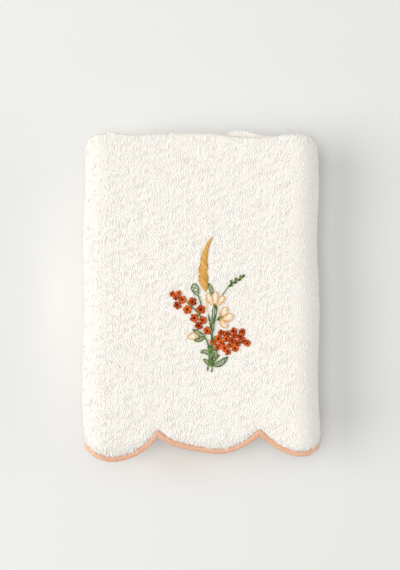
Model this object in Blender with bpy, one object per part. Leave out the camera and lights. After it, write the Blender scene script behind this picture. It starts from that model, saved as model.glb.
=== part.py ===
"""A terry hand towel with one scalloped end, folded and lying flat.

The flat towel is 500 mm across and about 800 mm long. It is folded across its length into four layers, back and
forth, with the scalloped end on top, and then folded lengthwise in three: the left third under, then the right third
under both. The towel is one solid, and the satin-stitched edging of its scalloped end is another.

Each point of the cloth has a place in the flat towel: its distance across it, a station along it, and its height
within the cloth. The two folds carry that place into the folded bundle. X runs across the bundle, Y up its length
and Z up from the surface that it lies on.
"""

import math

import bmesh
import bpy
from mathutils import Vector

MM = 0.001

# The flat towel
TOWEL_WIDTH = 500 * MM
CLOTH = 3.2 * MM  # thickness over the loops of both faces

# The scalloped end, one row for each scallop from the left side of the towel to the right.
# Columns: depth below the cusps in mm, and how far the lowest point leans from the middle, as a share of the scallop.
SCALLOPS = (
    (15.5, 0.00),
    (16.5, 0.03),
    (17.2, 0.04),
    (12.4, 0.12),
    (14.2, -0.04),
    (15.0, 0.00),
    (16.0, 0.00),
)
SCALLOP_PITCH = TOWEL_WIDTH / len(SCALLOPS)
EDGING_WIDTH = 3.5 * MM
EDGING_THICKNESS = 2.8 * MM
EDGING_GAP = 0.5 * MM
CUSP_WIDENING = 0.6  # the band is this share wider, along Y, at a cusp

# The fold across the length: four layers, each a pitch behind the one before
LAYERS = 4
LAYER_PITCH = 4.0 * MM
BUNDLE = (LAYERS - 1) * LAYER_PITCH + CLOTH
FRONT_LAYER = BUNDLE / 2 - CLOTH / 2  # the front layer's height above the middle of the bundle

# Where the edges and folds lie in Y, in mm, at places across the flat towel.
# Columns: across, line of the cusps, first fold (top), second fold (bottom), third fold (top), plain end.
FOLD_LINES = (
    (-250, -79.0, 109.0, -87.0, 108.0, -84.0),
    (-185, -80.5, 110.5, -88.5, 109.0, -86.0),
    (-118, -84.0, 107.0, -88.0, 106.0, -85.0),
    (-96, -95.4, 103.5, -89.5, 104.5, -86.5),
    (-86, -97.2, 113.2, -90.5, 110.2, -87.5),
    (-79, -99.5, 114.9, -90.6, 110.9, -87.5),
    (-70, -101.0, 116.3, -91.0, 112.0, -87.5),
    (-52, -100.9, 114.6, -90.0, 112.5, -86.5),
    (-30, -100.5, 115.6, -90.5, 112.0, -86.0),
    (0, -100.3, 115.6, -91.0, 112.5, -87.0),
    (23, -100.2, 113.0, -90.5, 118.9, -88.0),
    (42, -99.8, 113.0, -89.5, 114.8, -87.0),
    (60, -100.5, 115.2, -90.5, 111.5, -86.5),
    (69, -99.9, 114.8, -90.2, 110.4, -86.8),
    (77, -97.6, 113.4, -90.0, 109.2, -87.0),
    (92, -93.4, 99.5, -89.0, 101.5, -86.0),
    (124, -82.0, 107.0, -88.0, 106.0, -85.0),
    (190, -80.0, 110.5, -88.5, 109.5, -86.5),
    (250, -79.0, 109.5, -87.0, 108.5, -85.0),
)

# The loose end of the front layer dips where nothing lies under it
DIP_START = -84 * MM
DIP_END = -118 * MM
FLAP_DIP = 6.0 * MM
FLAP_LENGTH = 27 * MM  # of the front layer, divided more finely

# The lengthwise fold in three
FOLDED_WIDTH = 169 * MM
MIDDLE_SHIFT = 5.0 * MM  # the towel's centre line lies this far right of the bundle's middle
THIRD_PITCH = BUNDLE + LAYER_PITCH - CLOTH
STACK_HEIGHT = 2 * THIRD_PITCH + BUNDLE
TOP_MIDDLE = STACK_HEIGHT - BUNDLE / 2  # height of the middle of the top third
LEFT_RADIUS = THIRD_PITCH / 2
RIGHT_RADIUS = 12 * MM
RIGHT_DROP = 2 * THIRD_PITCH - 2 * RIGHT_RADIUS  # the straight stretch between the right side's two bends
LEFT_BEND_X = -FOLDED_WIDTH / 2 + BUNDLE / 2 + LEFT_RADIUS
RIGHT_BEND_X = FOLDED_WIDTH / 2 - BUNDLE / 2 - RIGHT_RADIUS

# How the folded bundle has settled
SIDE_WAVE = 0.7 * MM
SIDE_WAVE_LENGTH = 96 * MM
END_SPREAD = 0.008  # the scalloped end is this share wider than the middle, and the other end as much narrower
TOP_WAVE = 0.024
TOP_WAVE_ACROSS = 150 * MM
TOP_WAVE_ALONG = 210 * MM
HALF_LENGTH = 117 * MM

# How finely the cloth is divided
STEPS_PER_SCALLOP = 8
STEPS_PER_PANEL = 4
STEPS_PER_TURN = 4
FLAP_STEPS = 3
EDGING_SIDES = 8

IVORY = (0.93, 0.89, 0.81, 1.0)
PEACH = (0.90, 0.47, 0.27, 1.0)


def clear_scene():
    for item in list(bpy.data.objects):
        bpy.data.objects.remove(item)


def cloth_material(name, colour, roughness, sheen):
    material = bpy.data.materials.new(name)
    material.use_nodes = True
    shader = material.node_tree.nodes["Principled BSDF"]
    shader.inputs["Base Color"].default_value = colour
    shader.inputs["Roughness"].default_value = roughness
    shader.inputs["Metallic"].default_value = 0.0
    shader.inputs["Sheen Weight"].default_value = sheen
    material.diffuse_color = colour
    return material


def smooth(share):
    """Rises gently from 0 to 1 as the share does."""
    share = min(max(share, 0.0), 1.0)
    return share * share * (3 - 2 * share)


def fold_lines(across):
    """The Y of each edge and fold at this place across the flat towel, blended between the rows of the table."""
    place = across / MM
    for low, high in zip(FOLD_LINES, FOLD_LINES[1:]):
        if place <= high[0]:
            break
    share = smooth((place - low[0]) / (high[0] - low[0]))
    return [(a + (b - a) * share) * MM for a, b in zip(low[1:], high[1:])]


def scallop(across):
    """The scalloped end at this place: its drop below the cusps, and the width of the edging along Y.

    Each scallop is an arc of a circle through its two cusps, leaning a little to one side.
    """
    place = (across + TOWEL_WIDTH / 2) / SCALLOP_PITCH
    index = min(max(int(place + 1e-9), 0), len(SCALLOPS) - 1)
    depth, lean = SCALLOPS[index]
    depth *= MM
    part = min(max(place - index, 0.0), 1.0)
    part -= lean * math.sin(math.pi * part) ** 3
    from_middle = abs(2 * part - 1)
    half = SCALLOP_PITCH / 2
    radius = (half**2 + depth**2) / (2 * depth)
    drop = math.sqrt(radius**2 - (half * from_middle) ** 2) - (radius - depth)
    return drop, EDGING_WIDTH * (1 + CUSP_WIDENING * from_middle**3)


def flap_height(across, y):
    """How high the front layer lies above the middle of the bundle, with the dip of its loose end."""
    beyond = max(DIP_START - y, 0.0) / (DIP_START - DIP_END)
    left = smooth((-across - 55 * MM) / (30 * MM))
    right = smooth((across - 45 * MM) / (30 * MM))
    return FRONT_LAYER - FLAP_DIP * beyond**2 * (1 - left) * (1 - right)


def layer_path(across):
    """The middle of the cloth along its length, as (y, height, normal y, normal height), from scallops to plain end."""
    cusps, first_top, bottom, second_top, plain_end = fold_lines(across)
    drop, band = scallop(across)
    reach = (LAYER_PITCH + CLOTH) / 2
    end = cusps - drop + band + EDGING_GAP * band / EDGING_WIDTH
    turns = (first_top - reach, bottom + reach, second_top - reach)
    path = []
    for step in range(FLAP_STEPS):
        y = end + FLAP_LENGTH * step / FLAP_STEPS
        slope = (flap_height(across, y + MM) - flap_height(across, y - MM)) / (2 * MM)
        length = math.hypot(1, slope)
        path.append((y, flap_height(across, y), -slope / length, 1 / length))
    start, height, side = end + FLAP_LENGTH, FRONT_LAYER, 1
    for turn in (*turns, plain_end):
        for step in range(STEPS_PER_PANEL):
            y = start + (turn - start) * step / STEPS_PER_PANEL
            path.append((y, height, 0.0, side))
        if turn == plain_end:
            path.append((turn, height, 0.0, side))
            break
        towards = 1 if turn > start else -1
        middle, radius = height - LAYER_PITCH / 2, LAYER_PITCH / 2
        for step in range(STEPS_PER_TURN):
            angle = math.pi * step / STEPS_PER_TURN
            if step:
                y = turn + towards * radius * math.sin(angle)
                up = middle + radius * math.cos(angle)
                path.append((y, up, side * towards * math.sin(angle), side * math.cos(angle)))
            else:
                path.append((turn, height, 0.0, side))
        start, height, side = turn, height - LAYER_PITCH, -side
    return path


def round_the_side(bend_x, outwards, top, radius, angle, offset):
    """A point of a bend: from straight up, turned outwards by the angle, on the bend's radius plus an offset."""
    far = radius + offset
    return bend_x + outwards * far * math.sin(angle), top - radius + far * math.cos(angle)


def fold_lengthwise(across, offset):
    """Where the bundle lies in X and Z, at a place across the flat towel and an offset above the bundle's middle.

    The front layer keeps its width round the bends, and the layers inside it are gathered there.
    """
    x = across + MIDDLE_SHIFT
    if x < LEFT_BEND_X:
        travel = LEFT_BEND_X - x
        bend = math.pi * (LEFT_RADIUS + FRONT_LAYER)
        if travel < bend:
            angle = travel / (LEFT_RADIUS + FRONT_LAYER)
            return round_the_side(LEFT_BEND_X, -1, TOP_MIDDLE, LEFT_RADIUS, angle, offset)
        return LEFT_BEND_X + travel - bend, TOP_MIDDLE - THIRD_PITCH - offset
    if x > RIGHT_BEND_X:
        travel = x - RIGHT_BEND_X
        quarter = math.pi / 2 * (RIGHT_RADIUS + FRONT_LAYER)
        if travel < quarter:
            angle = travel / (RIGHT_RADIUS + FRONT_LAYER)
            return round_the_side(RIGHT_BEND_X, 1, TOP_MIDDLE, RIGHT_RADIUS, angle, offset)
        travel -= quarter
        if travel < RIGHT_DROP:
            return RIGHT_BEND_X + RIGHT_RADIUS + offset, TOP_MIDDLE - RIGHT_RADIUS - travel
        travel -= RIGHT_DROP
        if travel < quarter:
            angle = math.pi / 2 + travel / (RIGHT_RADIUS + FRONT_LAYER)
            return round_the_side(RIGHT_BEND_X, 1, TOP_MIDDLE - RIGHT_DROP, RIGHT_RADIUS, angle, offset)
        return RIGHT_BEND_X - (travel - quarter), TOP_MIDDLE - 2 * THIRD_PITCH - offset
    return x, TOP_MIDDLE + offset


def settle(x, y, z):
    """The small unevenness of the folded bundle. It grows with height, so the underside stays flat."""
    up = z / STACK_HEIGHT
    side = x / (FOLDED_WIDTH / 2)
    wave = math.sin(2 * math.pi * y / SIDE_WAVE_LENGTH + 0.8 + 1.5 * side)
    new_x = x * (1 - END_SPREAD * y / HALF_LENGTH) + SIDE_WAVE * wave * side * smooth(2 * up)
    swell = math.cos(2 * math.pi * x / TOP_WAVE_ACROSS) * math.cos(2 * math.pi * (y - 20 * MM) / TOP_WAVE_ALONG)
    new_z = z * (1 + TOP_WAVE * swell - 0.02 * side**2 * (y / HALF_LENGTH) ** 2)
    return Vector((new_x, y, new_z))


def folded_place(across, y, height, normal_y, normal_height, depth):
    """A point at this depth within the cloth, carried into the folded bundle."""
    x, z = fold_lengthwise(across, height + depth * normal_height)
    return settle(x, y + depth * normal_y, z)


def places_across():
    """The places across the flat towel where it is divided: even steps, halved where the towel bends round a side."""
    step = SCALLOP_PITCH / STEPS_PER_SCALLOP
    bends = (
        (LEFT_BEND_X - MIDDLE_SHIFT - math.pi * (LEFT_RADIUS + FRONT_LAYER), LEFT_BEND_X - MIDDLE_SHIFT),
        (
            RIGHT_BEND_X - MIDDLE_SHIFT,
            RIGHT_BEND_X - MIDDLE_SHIFT + math.pi * (RIGHT_RADIUS + FRONT_LAYER) + RIGHT_DROP,
        ),
    )
    places = []
    for index in range(len(SCALLOPS) * STEPS_PER_SCALLOP):
        place = -TOWEL_WIDTH / 2 + index * step
        places.append(place)
        if any(low - step < place < high for low, high in bends):
            places.append(place + step / 2)
    places.append(TOWEL_WIDTH / 2)
    return places


def add_object(name, mesh_data, material):
    """Makes the finished bmesh an object, smooth but for its sharp edges."""
    bmesh.ops.recalc_face_normals(mesh_data, faces=mesh_data.faces)
    mesh = bpy.data.meshes.new(name)
    mesh_data.to_mesh(mesh)
    mesh_data.free()
    mesh.materials.append(material)
    mesh.shade_smooth()
    mesh.set_sharp_from_angle(angle=math.radians(40))
    item = bpy.data.objects.new(name, mesh)
    bpy.context.scene.collection.objects.link(item)
    return item


def make_towel(material):
    """A flat sheet of squares, given its thickness and then folded, point by point."""
    places = places_across()
    paths = [layer_path(across) for across in places]
    sheet = bmesh.new()
    grid = [
        [sheet.verts.new((column, row, 0)) for row in range(len(paths[0]))]
        for column in range(len(places))
    ]
    for left, right in zip(grid, grid[1:]):
        for corner in range(len(left) - 1):
            sheet.faces.new((left[corner], right[corner], right[corner + 1], left[corner + 1]))
    back = bmesh.ops.extrude_face_region(sheet, geom=sheet.faces[:], use_keep_orig=True)
    for item in back["geom"]:
        if isinstance(item, bmesh.types.BMVert):
            item.co.z = -1
    for vertex in sheet.verts:
        column, row, side = round(vertex.co.x), round(vertex.co.y), round(vertex.co.z)
        depth = CLOTH / 2 if side == 0 else -CLOTH / 2
        vertex.co = folded_place(places[column], *paths[column][row], depth)
    return add_object("towel", sheet, material)


def make_edging(material):
    """The band of satin stitch: a rounded section carried along the scallops, just clear of the cloth's edge."""
    band = bmesh.new()
    rings = []
    for across in places_across():
        cusps = fold_lines(across)[0]
        drop, width = scallop(across)
        middle = cusps - drop + width / 2
        ring = []
        for side in range(EDGING_SIDES):
            angle = 2 * math.pi * (side + 0.5) / EDGING_SIDES
            along, up = math.cos(angle), math.sin(angle)
            widest = math.cos(math.pi / EDGING_SIDES)
            y = middle + width / 2 * along / widest
            slope = (flap_height(across, y + MM) - flap_height(across, y - MM)) / (2 * MM)
            length = math.hypot(1, slope)
            depth = EDGING_THICKNESS / 2 * up / widest
            place = (across, y, flap_height(across, y), -slope / length, 1 / length, depth)
            ring.append(band.verts.new(folded_place(*place)))
        rings.append(ring)
    for left, right in zip(rings, rings[1:]):
        for side in range(EDGING_SIDES):
            after = (side + 1) % EDGING_SIDES
            band.faces.new((left[side], right[side], right[after], left[after]))
    band.faces.new(rings[0])
    band.faces.new(reversed(rings[-1]))
    return add_object("scallop_edging", band, material)


def stand_on_origin(items):
    """Moves every point together, so that the bundle's box stands on the origin at the middle of its base."""
    corners = [vertex.co for item in items for vertex in item.data.vertices]
    low = Vector(map(min, *corners))
    high = Vector(map(max, *corners))
    shift = Vector(((low.x + high.x) / 2, (low.y + high.y) / 2, low.z))
    for item in items:
        for vertex in item.data.vertices:
            vertex.co -= shift


clear_scene()
terry = cloth_material("ivory terry", IVORY, roughness=0.95, sheen=0.3)
satin_stitch = cloth_material("peach satin stitch", PEACH, roughness=0.55, sheen=0.1)
stand_on_origin([make_towel(terry), make_edging(satin_stitch)])
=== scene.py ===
"""A folded terry hand towel with its scalloped edging and embroidered posy, dressed round the frame."""

import math

import bpy
import numpy as np
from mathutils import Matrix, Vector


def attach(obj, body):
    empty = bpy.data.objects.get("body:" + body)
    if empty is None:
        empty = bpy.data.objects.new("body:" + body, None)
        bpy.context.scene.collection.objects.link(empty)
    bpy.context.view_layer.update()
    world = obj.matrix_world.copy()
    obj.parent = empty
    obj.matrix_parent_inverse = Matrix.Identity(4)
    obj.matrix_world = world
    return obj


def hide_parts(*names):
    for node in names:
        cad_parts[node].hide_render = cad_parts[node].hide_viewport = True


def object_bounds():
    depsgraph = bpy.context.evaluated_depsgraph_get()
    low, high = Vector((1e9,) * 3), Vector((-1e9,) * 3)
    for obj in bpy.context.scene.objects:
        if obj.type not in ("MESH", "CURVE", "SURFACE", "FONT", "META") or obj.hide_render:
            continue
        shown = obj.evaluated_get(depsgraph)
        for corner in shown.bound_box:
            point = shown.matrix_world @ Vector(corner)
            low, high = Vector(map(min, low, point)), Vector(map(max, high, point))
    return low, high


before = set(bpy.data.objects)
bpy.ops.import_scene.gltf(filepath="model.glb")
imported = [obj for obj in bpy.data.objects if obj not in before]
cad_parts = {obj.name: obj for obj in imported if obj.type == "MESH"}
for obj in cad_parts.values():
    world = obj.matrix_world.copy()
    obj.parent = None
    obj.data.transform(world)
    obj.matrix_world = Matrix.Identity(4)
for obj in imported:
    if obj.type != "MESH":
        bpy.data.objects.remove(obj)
cad_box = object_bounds()

# Camera
# It looks straight down on the towel's face, from far enough above to keep the sides upright. One pixel of
# the photograph is 0.707 mm at the height of the face.
PIXEL = 0.000707
FRAME_HEIGHT = 570
FACE_HEIGHT = cad_box[1][2]
CAMERA_ABOVE_FACE = 1.4
CAMERA_SEES = 10
VIEW_CENTRE = (-0.0013, 0.0072)

bpy.ops.object.camera_add(location=(*VIEW_CENTRE, FACE_HEIGHT + CAMERA_ABOVE_FACE), rotation=(0, 0, 0))
camera = bpy.context.object
camera.data.lens = camera.data.sensor_width * CAMERA_ABOVE_FACE / (FRAME_HEIGHT * PIXEL)
camera.data.clip_end = CAMERA_SEES
bpy.context.scene.camera = camera

# Ground cloth
# The woven cotton that the loops stand on, 500 mm across and about 800 mm long. It is folded back and forth
# into four layers and then in three, the left third first. Its plain end and long sides are narrow hems.
MM = 0.001
TOWEL_WIDTH = 500 * MM
HALF_WIDTH = TOWEL_WIDTH / 2
CLOTH = 3.2 * MM
GROUND = 2.0 * MM
HEM_THICKNESS = 2.5 * MM
HEM_WIDTH, HEM_EDGE = 11 * MM, 2 * MM
SCALLOPS = (  # depth in mm, and lean of the lowest point
    (15.5, 0.00),
    (16.5, 0.03),
    (17.2, 0.04),
    (12.4, 0.12),
    (14.2, -0.04),
    (15.0, 0.00),
    (16.0, 0.00),
)
SCALLOP_PITCH = TOWEL_WIDTH / len(SCALLOPS)
EDGING_WIDTH = 3.5 * MM
EDGING_THICKNESS = 2.8 * MM
EDGING_GAP = 0.5 * MM
CUSP_WIDENING = 0.6
LAYERS = 4
LAYER_PITCH = 4.0 * MM
BUNDLE = (LAYERS - 1) * LAYER_PITCH + CLOTH
FRONT_LAYER = BUNDLE / 2 - CLOTH / 2
TURN_RADIUS = LAYER_PITCH / 2
TURN_REACH = (LAYER_PITCH + CLOTH) / 2
TURN_LENGTH = math.pi * LAYER_PITCH / 2
FOLD_LINES = (  # across, line of the cusps, first fold, second fold, third fold and plain end, in mm
    (-250, -79.0, 109.0, -87.0, 108.0, -84.0),
    (-185, -80.5, 110.5, -88.5, 109.0, -86.0),
    (-118, -84.0, 107.0, -88.0, 106.0, -85.0),
    (-96, -95.4, 103.5, -89.5, 104.5, -86.5),
    (-86, -97.2, 113.2, -90.5, 110.2, -87.5),
    (-79, -99.5, 114.9, -90.6, 110.9, -87.5),
    (-70, -101.0, 116.3, -91.0, 112.0, -87.5),
    (-52, -100.9, 114.6, -90.0, 112.5, -86.5),
    (-30, -100.5, 115.6, -90.5, 112.0, -86.0),
    (0, -100.3, 115.6, -91.0, 112.5, -87.0),
    (23, -100.2, 113.0, -90.5, 118.9, -88.0),
    (42, -99.8, 113.0, -89.5, 114.8, -87.0),
    (60, -100.5, 115.2, -90.5, 111.5, -86.5),
    (69, -99.9, 114.8, -90.2, 110.4, -86.8),
    (77, -97.6, 113.4, -90.0, 109.2, -87.0),
    (92, -93.4, 99.5, -89.0, 101.5, -86.0),
    (124, -82.0, 107.0, -88.0, 106.0, -85.0),
    (190, -80.0, 110.5, -88.5, 109.5, -86.5),
    (250, -79.0, 109.5, -87.0, 108.5, -85.0),
)
DIP_START, DIP_END, FLAP_DIP = -84 * MM, -118 * MM, 6.0 * MM
DIP_LEFT, DIP_RIGHT, DIP_FADE = -55 * MM, 45 * MM, 30 * MM  # where the dip fades out
FOLDED_WIDTH = 169 * MM
MIDDLE_SHIFT = 5.0 * MM
THIRD_PITCH = BUNDLE + LAYER_PITCH - CLOTH
STACK_HEIGHT = 2 * THIRD_PITCH + BUNDLE
TOP_MIDDLE = STACK_HEIGHT - BUNDLE / 2
LEFT_RADIUS, RIGHT_RADIUS = THIRD_PITCH / 2, 12 * MM
RIGHT_DROP = 2 * THIRD_PITCH - 2 * RIGHT_RADIUS
LEFT_BEND_X = -FOLDED_WIDTH / 2 + BUNDLE / 2 + LEFT_RADIUS
RIGHT_BEND_X = FOLDED_WIDTH / 2 - BUNDLE / 2 - RIGHT_RADIUS
LEFT_BEND = LEFT_BEND_X - MIDDLE_SHIFT  # where each bend starts, across the flat towel
RIGHT_BEND = RIGHT_BEND_X - MIDDLE_SHIFT
LEFT_BEND_LENGTH = math.pi * (LEFT_RADIUS + FRONT_LAYER)
RIGHT_QUARTER = math.pi / 2 * (RIGHT_RADIUS + FRONT_LAYER)
RIGHT_BEND_LENGTH = 2 * RIGHT_QUARTER + RIGHT_DROP
HALF_LENGTH = 117 * MM
SIDE_WAVE, SIDE_WAVE_LENGTH = 0.7 * MM, 96 * MM  # how far the long sides wander
SIDE_WAVE_START, SIDE_WAVE_SHIFT = 0.8, 1.5
END_SPREAD = 0.008  # how much wider the lower end is than the middle
TOP_WAVE, TOP_WAVE_ACROSS, TOP_WAVE_ALONG = 0.024, 150 * MM, 210 * MM  # the bundle's uneven thickness
TOP_WAVE_MIDDLE, CORNER_DROP = 20 * MM, 0.02
TO_ORIGIN = (0.23 * MM, 0.19 * MM, 0.0)  # what stands the folded bundle's box on the origin


def smooth(share):
    """Rises gently from 0 to 1 as the share does."""
    share = np.clip(share, 0, 1)
    return share * share * (3 - 2 * share)


def fold_lines(across):
    """The Y of the cusps' line, the three folds and the plain end, at each place across the flat towel."""
    rows = np.array(FOLD_LINES) * MM
    low = np.clip(np.searchsorted(rows[:, 0], across) - 1, 0, len(rows) - 2)
    share = smooth((across - rows[low, 0]) / (rows[low + 1, 0] - rows[low, 0]))
    return [rows[low, line] + (rows[low + 1, line] - rows[low, line]) * share for line in range(1, 6)]


def scallop(across):
    """The scalloped end's drop below the cusps, an arc in each scallop, and its edging's width along Y."""
    table = np.array(SCALLOPS)
    place = (across + HALF_WIDTH) / SCALLOP_PITCH
    index = np.clip((place + 1e-9).astype(int), 0, len(SCALLOPS) - 1)
    depth, lean = table[index, 0] * MM, table[index, 1]
    part = np.clip(place - index, 0, 1)
    part = part - lean * np.sin(math.pi * part) ** 3
    from_middle = np.abs(2 * part - 1)
    half = SCALLOP_PITCH / 2
    radius = (half**2 + depth**2) / (2 * depth)
    drop = np.sqrt(radius**2 - (half * from_middle) ** 2) - (radius - depth)
    return drop, EDGING_WIDTH * (1 + CUSP_WIDENING * from_middle**3)


def cloth_end(across):
    """The Y of the cloth's scalloped edge, just inside its edging."""
    drop, band = scallop(across)
    return fold_lines(across)[0] - drop + band * (1 + EDGING_GAP / EDGING_WIDTH)


def flap_height(across, y):
    """How high the front layer lies above the middle of the bundle, with the dip of its loose end."""
    beyond = np.maximum(DIP_START - y, 0) / (DIP_START - DIP_END)
    left = smooth((DIP_LEFT - across) / DIP_FADE)
    right = smooth((across - DIP_RIGHT) / DIP_FADE)
    return FRONT_LAYER - FLAP_DIP * beyond**2 * (1 - left) * (1 - right)


def turn_lines(across):
    """The Y where the cloth starts each of its three turns."""
    first, second, third = fold_lines(across)[1:4]
    return first - TURN_REACH, second + TURN_REACH, third - TURN_REACH


def marks(across):
    """Distances along the cloth from its scalloped edge to each turn's start and end, and the plain end."""
    first, second, third = turn_lines(across)
    plain = fold_lines(across)[4]
    layers = (first - cloth_end(across), first - second, third - second, third - plain)
    lengths = [length for layer in layers for length in (layer, TURN_LENGTH + 0 * across)][:-1]
    return np.cumsum([np.zeros_like(across), *lengths], axis=0)


def layer_path(across, along):
    """The Y and height of the cloth's middle, and those of its front's normal, at a distance along it."""
    first, second, third = turn_lines(across)
    at = marks(across)
    y = cloth_end(across) + along
    slope = (flap_height(across, y + MM) - flap_height(across, y - MM)) / (2 * MM)
    steep = np.hypot(1, slope)
    pieces = [(y, flap_height(across, y), -slope / steep, 1 / steep)]
    for number, turn, towards in ((1, first, 1), (3, second, -1), (5, third, 1)):
        height = FRONT_LAYER - LAYER_PITCH * (number - 1) / 2
        angle = (along - at[number]) / TURN_RADIUS
        round_y, round_up = TURN_RADIUS * np.sin(angle), TURN_RADIUS * np.cos(angle)
        bent = (turn + towards * round_y, height - TURN_RADIUS + round_up)
        pieces.append((*bent, np.sin(angle), towards * np.cos(angle)))
        flat_y = turn - towards * (along - at[number + 1])
        below = height - LAYER_PITCH + 0 * along
        pieces.append((flat_y, below, 0 * along, -towards + 0 * along))
    chosen = np.clip((along[None] > at[1:7]).sum(axis=0), 0, 6)
    return [np.choose(chosen, [piece[value] for piece in pieces]) for value in range(4)]


def fold_lengthwise(across, offset):
    """X and Z in the bundle, at a place across the towel and an offset above the bundle's middle."""
    x = across + MIDDLE_SHIFT
    travel = LEFT_BEND_X - x
    angle = travel / (LEFT_RADIUS + FRONT_LAYER)
    far = LEFT_RADIUS + offset
    left_bend = (LEFT_BEND_X - far * np.sin(angle), TOP_MIDDLE - LEFT_RADIUS + far * np.cos(angle))
    left_flat = (LEFT_BEND_X + travel - LEFT_BEND_LENGTH, TOP_MIDDLE - THIRD_PITCH - offset)
    travel_right = x - RIGHT_BEND_X
    far = RIGHT_RADIUS + offset
    angle = travel_right / (RIGHT_RADIUS + FRONT_LAYER)
    upper = (RIGHT_BEND_X + far * np.sin(angle), TOP_MIDDLE - RIGHT_RADIUS + far * np.cos(angle))
    wall = (RIGHT_BEND_X + far, TOP_MIDDLE - RIGHT_RADIUS - (travel_right - RIGHT_QUARTER))
    angle = (travel_right - RIGHT_DROP) / (RIGHT_RADIUS + FRONT_LAYER)
    lower_middle = TOP_MIDDLE - RIGHT_DROP - RIGHT_RADIUS
    lower = (RIGHT_BEND_X + far * np.sin(angle), lower_middle + far * np.cos(angle))
    right_flat = (RIGHT_BEND_X - (travel_right - RIGHT_BEND_LENGTH), TOP_MIDDLE - 2 * THIRD_PITCH - offset)
    where = [travel > LEFT_BEND_LENGTH, travel > 0]
    right_starts = (RIGHT_BEND_LENGTH, RIGHT_QUARTER + RIGHT_DROP, RIGHT_QUARTER, 0)
    where += [travel_right > start for start in right_starts]
    shapes = [left_flat, left_bend, right_flat, lower, wall, upper]
    return [
        np.select(where, [shape[value] for shape in shapes], (x, TOP_MIDDLE + offset)[value])
        for value in range(2)
    ]


def cloth_points(flat):
    """Carries points of the flat towel, (across, along, depth in the cloth), into the folded bundle."""
    across, along, depth = np.moveaxis(np.asarray(flat, float), -1, 0)
    y, height, normal_y, normal_height = layer_path(across, along)
    x, z = fold_lengthwise(across, height + depth * normal_height)
    y = y + depth * normal_y
    side = x / (FOLDED_WIDTH / 2)
    wave = np.sin(math.tau * y / SIDE_WAVE_LENGTH + SIDE_WAVE_START + SIDE_WAVE_SHIFT * side)
    new_x = x * (1 - END_SPREAD * y / HALF_LENGTH) + SIDE_WAVE * wave * side * smooth(2 * z / STACK_HEIGHT)
    swell = np.cos(math.tau * x / TOP_WAVE_ACROSS)
    swell = swell * np.cos(math.tau * (y - TOP_WAVE_MIDDLE) / TOP_WAVE_ALONG)
    new_z = z * (1 + TOP_WAVE * swell - CORNER_DROP * side**2 * (y / HALF_LENGTH) ** 2)
    return np.stack([new_x, y, new_z], axis=-1) - np.array(TO_ORIGIN)


def add_piece(name, points, faces, material, uv, tone=None):
    """A mesh object at the origin, from points and arrays of faces, with its UV map and threads' tones."""
    mesh = bpy.data.meshes.new(name)
    mesh.vertices.add(len(points))
    mesh.vertices.foreach_set("co", np.ravel(points))
    corners = np.concatenate([np.ravel(group) for group in faces]).astype(np.int32)
    sizes = np.concatenate([np.full(len(group), group.shape[1]) for group in faces])
    mesh.loops.add(len(corners))
    mesh.loops.foreach_set("vertex_index", corners)
    mesh.polygons.add(len(sizes))
    mesh.polygons.foreach_set("loop_start", (np.cumsum(sizes) - sizes).astype(np.int32))
    mesh.update(calc_edges=True)
    mesh.shade_smooth()
    layer = mesh.uv_layers.new(name="thread")
    layer.data.foreach_set("uv", np.ravel(uv[corners]))
    if tone is not None:
        tones = mesh.attributes.new("tone", "FLOAT", "POINT")
        tones.data.foreach_set("value", tone.astype(np.float32))
    mesh.materials.append(material)
    piece = bpy.data.objects.new(name, mesh)
    bpy.context.scene.collection.objects.link(piece)
    return piece


def new_group(name, inputs, outputs):
    """An empty shader group with its sockets, and its input and output nodes."""
    group = bpy.data.node_groups.new(name, "ShaderNodeTree")
    for kind, sockets in (("INPUT", inputs), ("OUTPUT", outputs)):
        for label, value in sockets:
            socket = group.interface.new_socket(label, in_out=kind, socket_type="NodeSocketFloat")
            if value is not None:
                socket.default_value = value
    return group, group.nodes.new("NodeGroupInput"), group.nodes.new("NodeGroupOutput")


def math_node(group, operation, *values):
    """A math node fed by sockets or numbers, and the socket that it gives."""
    node = group.nodes.new("ShaderNodeMath")
    node.operation = operation
    for socket, value in zip(node.inputs, values):
        if isinstance(value, (int, float)):
            socket.default_value = value
        else:
            group.links.new(value, socket)
    return node.outputs[0]


# Plied yarn: the slanting grooves of two plies, from a thread's own UV map in millimetres along it.
plied_yarn, given, result = new_group("plied yarn", [("Ply Length", 0.9)], [("Height", None)])
uv_map = plied_yarn.nodes.new("ShaderNodeUVMap")
uv_map.uv_map = "thread"
split = plied_yarn.nodes.new("ShaderNodeSeparateXYZ")
plied_yarn.links.new(uv_map.outputs["UV"], split.inputs[0])
turns = math_node(plied_yarn, "DIVIDE", split.outputs["X"], given.outputs["Ply Length"])
turns = math_node(plied_yarn, "ADD", turns, split.outputs["Y"])
ridge = math_node(plied_yarn, "SINE", math_node(plied_yarn, "MULTIPLY", turns, math.tau))
plied_yarn.links.new(math_node(plied_yarn, "MULTIPLY_ADD", ridge, 0.5, 0.5), result.inputs["Height"])

# Cotton tone: how light each thread is, from its own tone and a slow drift over the cloth.
cotton_tone, given, result = new_group("cotton tone", [("Drift", 0.35), ("Scale", 60.0)], [("Tone", None)])
own = cotton_tone.nodes.new("ShaderNodeAttribute")
own.attribute_name = "tone"
place = cotton_tone.nodes.new("ShaderNodeTexCoord")
noise = cotton_tone.nodes.new("ShaderNodeTexNoise")
noise.inputs["Detail"].default_value = 3
cotton_tone.links.new(place.outputs["Object"], noise.inputs["Vector"])
cotton_tone.links.new(given.outputs["Scale"], noise.inputs["Scale"])
slow = math_node(cotton_tone, "SUBTRACT", noise.outputs[0], 0.5)
slow = math_node(cotton_tone, "MULTIPLY", slow, given.outputs["Drift"])
cotton_tone.links.new(math_node(cotton_tone, "ADD", own.outputs["Fac"], slow), result.inputs["Tone"])

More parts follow.
